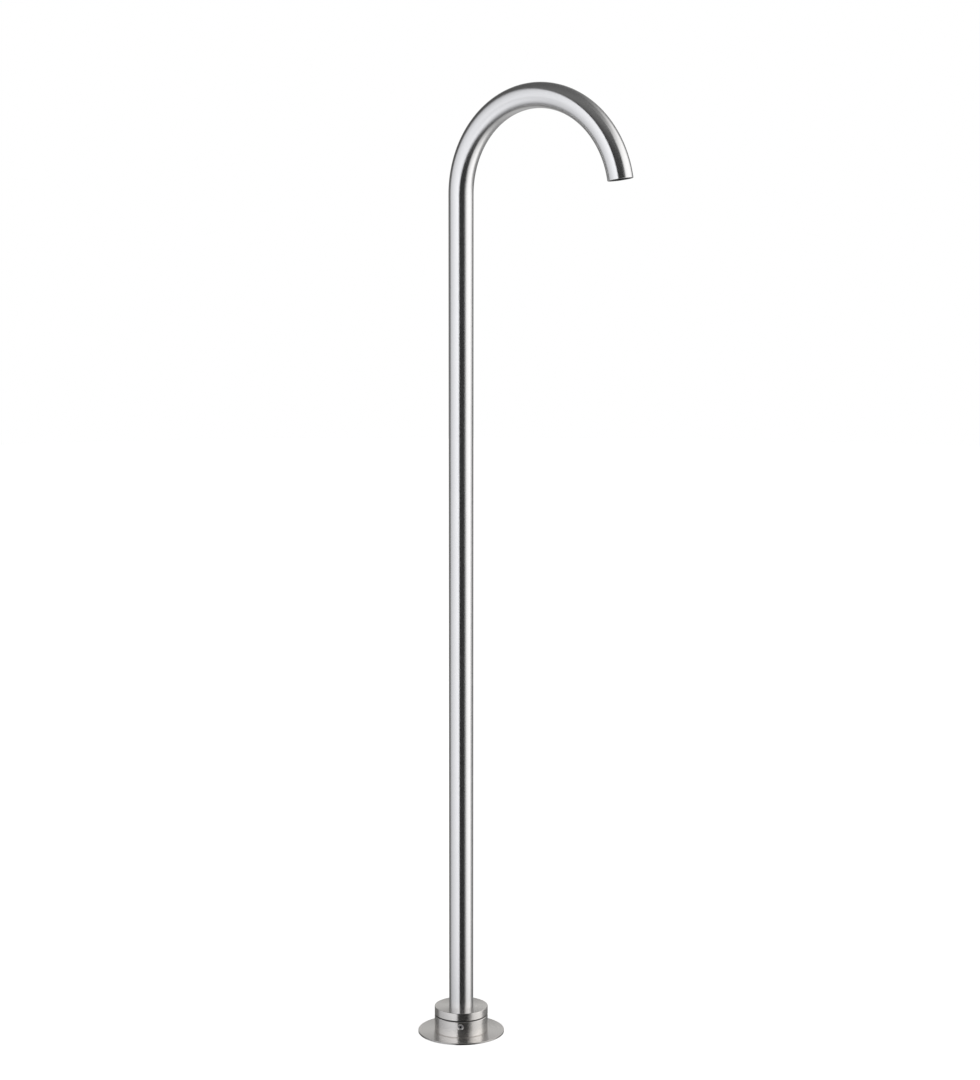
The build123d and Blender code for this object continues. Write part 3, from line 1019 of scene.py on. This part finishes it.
def make_studio(context, stage):
    """White to the camera. To all else, two soft walls of light with a dark gap and a dark ceiling."""
    world = bpy.data.worlds.new("studio")
    context.scene.world = world
    world.use_nodes = True
    tree = world.node_tree
    tree.nodes.clear()
    rays = tree.nodes.new("ShaderNodeLightPath")
    bearing, rise = looked_at(tree, rays, stage)
    light = blended(tree, surroundings(tree, bearing, rise), left_wall(tree, bearing, rise))
    light = blended(tree, light, right_wall(tree, bearing, rise))
    studio = tree.nodes.new("ShaderNodeBackground")
    tree.links.new(light, studio.inputs["Color"])
    plain = tree.nodes.new("ShaderNodeBackground")
    plain.inputs["Color"].default_value = (1, 1, 1, 1)
    choose = tree.nodes.new("ShaderNodeMixShader")
    output = tree.nodes.new("ShaderNodeOutputWorld")
    tree.links.new(rays.outputs["Is Camera Ray"], choose.inputs["Fac"])
    tree.links.new(studio.outputs[0], choose.inputs[1])
    tree.links.new(plain.outputs[0], choose.inputs[2])
    tree.links.new(choose.outputs[0], output.inputs["Surface"])


def looked_at(tree, rays, stage):
    """Bearing from the camera's side, positive to its right, and rise above the level, in degrees."""
    coordinates = tree.nodes.new("ShaderNodeTexCoord")
    turn = tree.nodes.new("ShaderNodeMapping")
    turn.inputs["Rotation"].default_value[2] = math.pi / 2 - stage.camera_azimuth
    tree.links.new(coordinates.outputs["Generated"], turn.inputs["Vector"])
    parts = tree.nodes.new("ShaderNodeSeparateXYZ")
    tree.links.new(turn.outputs["Vector"], parts.inputs[0])
    degrees = math.degrees(1)
    bearing = product(tree, maths(tree, "ARCTAN2", parts.outputs["Y"], parts.outputs["X"]), degrees)
    rise = product(tree, maths(tree, "ARCSINE", parts.outputs["Z"]), degrees)
    # Light that has bounced between faces of the base reached it low down
    bounced = maths(tree, "GREATER_THAN", rays.outputs["Glossy Depth"], ONE_MIRRORING)
    lowered = product(tree, maths(tree, "ABSOLUTE", rise), -1.0)
    return bearing, ramped(tree, bounced, 0.0, 1.0, rise, lowered, soft=False)


def coloured(tree, strength, tint):
    """A light's strength in its tint."""
    node = tree.nodes.new("ShaderNodeVectorMath")
    node.operation = "SCALE"
    node.inputs[0].default_value = tint
    tree.links.new(strength, node.inputs["Scale"])
    return node.outputs[0]


def blended(tree, under, cover):
    """Lays one (colour, cover) light over what lies under it."""
    colour, amount = cover
    node = tree.nodes.new("ShaderNodeMix")
    node.data_type = "RGBA"
    tree.links.new(amount, node.inputs["Factor"])
    tree.links.new(under, node.inputs["A"])
    tree.links.new(colour, node.inputs["B"])
    return node.outputs["Result"]


def left_wall(tree, bearing, rise):
    """The wall of light on the camera's left: brighter towards the gap, cut off below the ceiling."""
    inner = maths(tree, "ADD", ramped(tree, rise, *LEFT_EDGE), ramped(tree, rise, *LEFT_EDGE_LEAN))
    dark = maths(tree, "ADD", inner, LEFT_EDGE_BLUR)
    full = maths(tree, "SUBTRACT", inner, LEFT_EDGE_BLUR)
    edge = ramped(tree, bearing, dark, full)
    lit = product(tree, edge, ramped(tree, bearing, *LEFT_END), ramped(tree, rise, *LEFT_TOP))
    dimming = product(tree, ramped(tree, rise, *LEFT_DIM_BELOW), ramped(tree, rise, *LEFT_DIM_ABOVE))
    near = ramped(tree, dimming, 0.0, 1.0, LEFT_NEAR_STRENGTH, LEFT_DIM_STRENGTH, soft=False)
    strength = ramped(tree, bearing, *LEFT_WIDTH, LEFT_FAR_STRENGTH, near, soft=False)
    return coloured(tree, product(tree, strength, ramped(tree, rise, *FLOOR_FADE)), LEFT_TINT), lit


def right_wall(tree, bearing, rise):
    """The wall of light on the camera's right: soft at the gap, fading up into the ceiling."""
    level = product(tree, ramped(tree, rise, *RIGHT_LEVEL_ABOVE), ramped(tree, rise, *RIGHT_LEVEL_BELOW))
    inner = maths(tree, "SUBTRACT", RIGHT_EDGE, product(tree, level, RIGHT_LEVEL_SHIFT))
    inner = maths(tree, "SUBTRACT", inner, ramped(tree, rise, *RIGHT_LOW_SHIFT))
    edge = ramped(tree, bearing, inner, maths(tree, "ADD", inner, RIGHT_EDGE_WIDTH))
    outer = maths(tree, "ADD", ramped(tree, rise, *RIGHT_END), ramped(tree, rise, *RIGHT_END_SHIFT))
    dark = maths(tree, "ADD", outer, RIGHT_END_BLUR)
    full = maths(tree, "SUBTRACT", outer, RIGHT_END_BLUR)
    lit = product(tree, edge, ramped(tree, bearing, dark, full), ramped(tree, rise, *RIGHT_TOP))
    near = ramped(tree, rise, *RIGHT_NEAR_STRENGTH)
    strength = ramped(tree, bearing, *RIGHT_WIDTH, near, RIGHT_FAR_STRENGTH, soft=False)
    return coloured(tree, product(tree, strength, ramped(tree, rise, *FLOOR_FADE)), RIGHT_TINT), lit


def surroundings(tree, bearing, rise):
    """What lies round the walls: a pale sweep behind, dim sides, a dark front and a dark ceiling."""
    round_back = maths(tree, "ABSOLUTE", bearing)
    sweep_height = product(tree, ramped(tree, rise, *SWEEP_HEIGHT), ramped(tree, rise, *SWEEP_FOOT))
    sweep = product(tree, sweep_height, ramped(tree, round_back, *SWEEP_WIDTH))
    left_strength = ramped(tree, rise, *LEFT_SIDE_STRENGTH)
    left_side = product(tree, ramped(tree, bearing, *LEFT_SIDE_WIDTH), left_strength)
    right_high = ramped(tree, rise, *RIGHT_SIDE_STRENGTH)
    right_strength = maths(tree, "ADD", right_high, ramped(tree, rise, *RIGHT_SIDE_LOW_STRENGTH))
    right_side = product(tree, right_strength, ramped(tree, bearing, *RIGHT_SIDE_WIDTH))
    front_high = ramped(tree, rise, *FRONT_STRENGTH)
    front = maths(tree, "ADD", front_high, ramped(tree, rise, *FRONT_LOW_STRENGTH))
    base = ramped(tree, round_back, *FRONT_WIDTH, front, BACK_STRENGTH)
    sides = maths(tree, "ADD", left_side, right_side)
    total = maths(tree, "ADD", base, maths(tree, "ADD", sweep, sides))
    return coloured(tree, total, BACK_TINT)


class SPOUT_PT_pieces(bpy.types.Panel):
    """The spout's pieces, finishes and stage"""

    bl_idname = "SPOUT_PT_pieces"
    bl_label = "Basin Spout"
    bl_space_type = "VIEW_3D"
    bl_region_type = "UI"
    bl_category = "Spout"

    def draw(self, context):
        layout = self.layout
        for group in (context.scene.spout_sizes, context.scene.spout_finish, context.scene.spout_stage):
            box = layout.box()
            box.label(text=group.bl_rna.name)
            for name in group.bl_rna.properties.keys():
                if name not in ("rna_type", "name"):
                    box.prop(group, name)
        for operator in PIECE_OPERATORS:
            layout.operator(operator.bl_idname)


SETTINGS = {"spout_sizes": SpoutSizes, "spout_finish": SpoutFinish, "spout_stage": SpoutStage}
PIECE_OPERATORS = (
    SPOUT_OT_make_tube,
    SPOUT_OT_make_collar,
    SPOUT_OT_make_floor_disc,
    SPOUT_OT_finish_carried_pieces,
    SPOUT_OT_make_stage,
)


def register():
    for group in SETTINGS.values():
        bpy.utils.register_class(group)
    for name, group in SETTINGS.items():
        setattr(bpy.types.Scene, name, bpy.props.PointerProperty(type=group))
    for operator in PIECE_OPERATORS:
        bpy.utils.register_class(operator)
    bpy.utils.register_class(SPOUT_PT_pieces)


def unregister():
    bpy.utils.unregister_class(SPOUT_PT_pieces)
    for operator in reversed(PIECE_OPERATORS):
        bpy.utils.unregister_class(operator)
    for name in reversed(list(SETTINGS)):
        delattr(bpy.types.Scene, name)
    for group in reversed(list(SETTINGS.values())):
        bpy.utils.unregister_class(group)


def main():
    register()
    bpy.ops.spout.make_tube()
    bpy.ops.spout.make_collar()
    bpy.ops.spout.make_floor_disc()
    bpy.ops.spout.finish_carried_pieces()
    bpy.ops.spout.make_stage()


if __name__ == "__main__":
    main()
